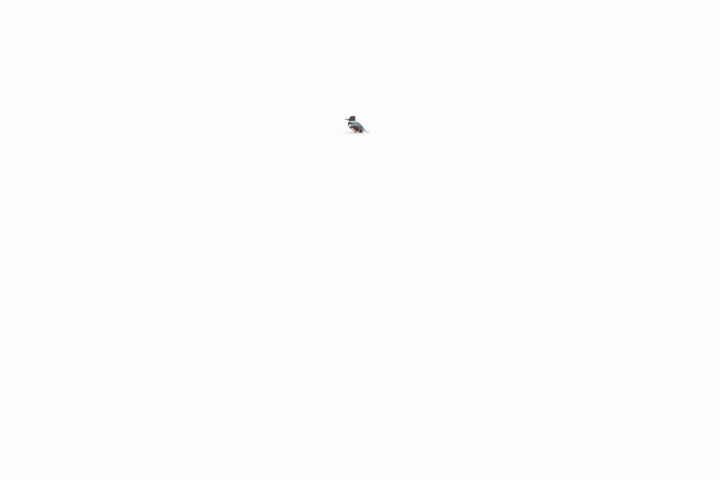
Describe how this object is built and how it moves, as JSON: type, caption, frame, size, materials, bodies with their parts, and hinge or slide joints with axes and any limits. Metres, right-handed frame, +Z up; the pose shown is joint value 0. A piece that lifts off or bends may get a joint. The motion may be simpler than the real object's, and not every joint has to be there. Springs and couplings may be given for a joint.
{
  "type": "belted kingfisher",
  "caption": "Life-size still model of an adult female belted kingfisher, perched upright with its crest raised and tail resting at ground level.",
  "frame": {"origin": "on the ground, below the middle of the bird's length and width", "axes": "-Y the way the bird faces, +X its left side, +Z up"},
  "size_m": [0.091, 0.2624, 0.1792],
  "materials": {
    "crown_feathers": "dark slate blue feathers",
    "back_feathers": "slate blue feathers",
    "white_feathers": "white feathers",
    "breast_feathers": "white, slate and rufous feathers",
    "flight_feathers": "blackish feathers with white spots",
    "horn": "smooth blackish horn",
    "eye": "wet dark brown",
    "foot_skin": "dull scaly greyish skin"
  },
  "bodies": {
    "root": {"head": "crown_feathers", "crest": "crown_feathers", "bill_upper": "horn", "bill_lower": "horn", "eye_left": "eye", "eye_right": "eye", "neck": "white_feathers", "trunk": "breast_feathers", "rump": "back_feathers", "tail": "flight_feathers", "wing_left": "back_feathers", "wing_right": "back_feathers", "primaries_left": "flight_feathers", "primaries_right": "flight_feathers", "leg_left": "foot_skin", "leg_right": "foot_skin", "foot_left": "foot_skin", "foot_right": "foot_skin", "claw_1_left": "horn", "claw_1_right": "horn", "claw_2_left": "horn", "claw_2_right": "horn", "claw_3_left": "horn", "claw_3_right": "horn", "claw_4_left": "horn", "claw_4_right": "horn"}
  },
  "joints": []
}
